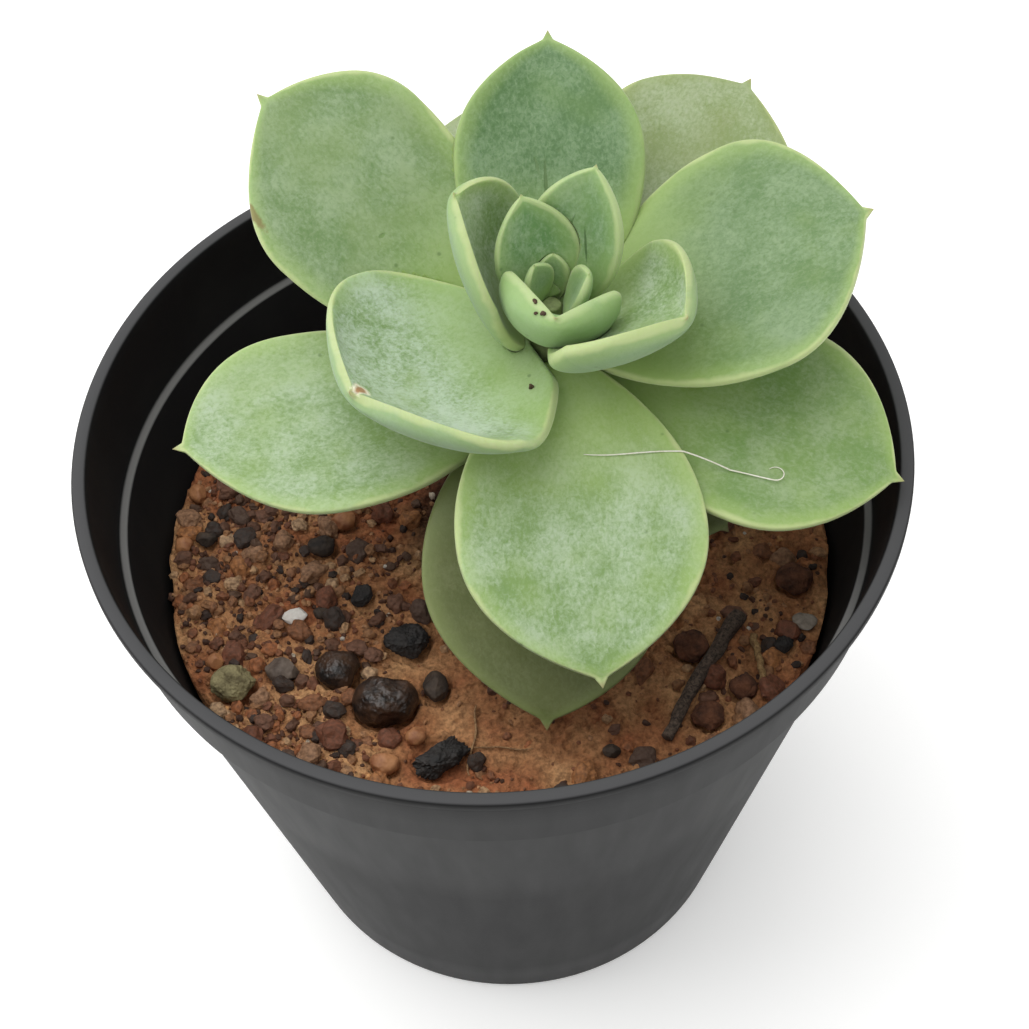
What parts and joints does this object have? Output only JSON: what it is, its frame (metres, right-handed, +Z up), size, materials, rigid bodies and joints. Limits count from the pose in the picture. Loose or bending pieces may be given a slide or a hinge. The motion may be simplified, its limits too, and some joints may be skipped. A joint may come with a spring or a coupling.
{
  "type": "potted succulent",
  "caption": "Rosette succulent with thick pointed waxy leaves in a round black plastic nursery pot of gritty soil and loose stones",
  "frame": {"origin": "centre of the pot's underside, on the surface it stands on", "axes": "+Z up along the pot's axis, -Y towards the side that the rosette leans to, +X to the right seen from that side"},
  "size_m": [0.105, 0.105, 0.1264],
  "materials": {
    "black_plastic": "satin black moulded polypropylene",
    "potting_soil": "damp reddish brown peat and clay mix",
    "woody_stem": "corky grey brown stem skin",
    "dead_wood": "weathered grey brown wood",
    "dry_straw": "dry tan stalk",
    "charcoal": "matte black charcoal",
    "wet_stone": "glossy wet dark stone",
    "dark_stone": "dull dark stone",
    "grey_stone": "dull grey brown stone",
    "brown_stone": "dull orange brown gravel",
    "pale_chip": "chalky white chip",
    "pumice": "porous greenish yellow pumice",
    "soil_clod": "crumbly dark red brown clod",
    "grown_leaf": "matte grey green leaf with bluish wax bloom and pale margin",
    "young_leaf": "smooth bluish green young leaf",
    "old_leaf": "dull olive green old leaf"
  },
  "bodies": {
    "root": {"pot": "black_plastic", "soil": "potting_soil", "stem": "woody_stem", "twig": "dead_wood", "straw": "dry_straw", "wet_pebble": "wet_stone", "round_pebble": "wet_stone", "charcoal_lump": "charcoal", "dark_pebble": "dark_stone", "pumice_stone": "pumice", "grey_pebble": "grey_stone", "white_chip": "pale_chip", "black_grain": "dark_stone", "charcoal_flake": "charcoal", "olive_pebble": "dark_stone", "ochre_pebble": "brown_stone", "orange_grit": "brown_stone", "tan_grit": "brown_stone", "dark_grit": "dark_stone", "red_grit": "brown_stone", "brown_pebble": "brown_stone", "rust_grit": "brown_stone", "charcoal_slab": "charcoal", "round_lump": "soil_clod", "brown_lump": "soil_clod", "red_clod": "soil_clod", "wall_clod": "soil_clod", "charcoal_bit": "charcoal", "bark_chip": "dead_wood", "dark_seed": "dark_stone", "leaf_back_low": "old_leaf", "leaf_front_low": "old_leaf", "leaf_front_right_low": "old_leaf", "leaf_right_low": "grown_leaf", "leaf_back_right_low": "old_leaf", "leaf_left_low": "grown_leaf", "leaf_back_left": "grown_leaf", "leaf_back": "grown_leaf", "leaf_right": "grown_leaf", "leaf_front": "grown_leaf", "cupped_leaf_left": "grown_leaf", "inner_leaf_back_left": "grown_leaf", "inner_leaf_right": "grown_leaf", "inner_leaf_back": "young_leaf", "heart_leaf_front": "young_leaf", "heart_leaf_back": "young_leaf", "bud_leaf_right": "young_leaf", "bud_leaf_left": "young_leaf", "bud_leaf_back": "young_leaf"}
  },
  "joints": []
}
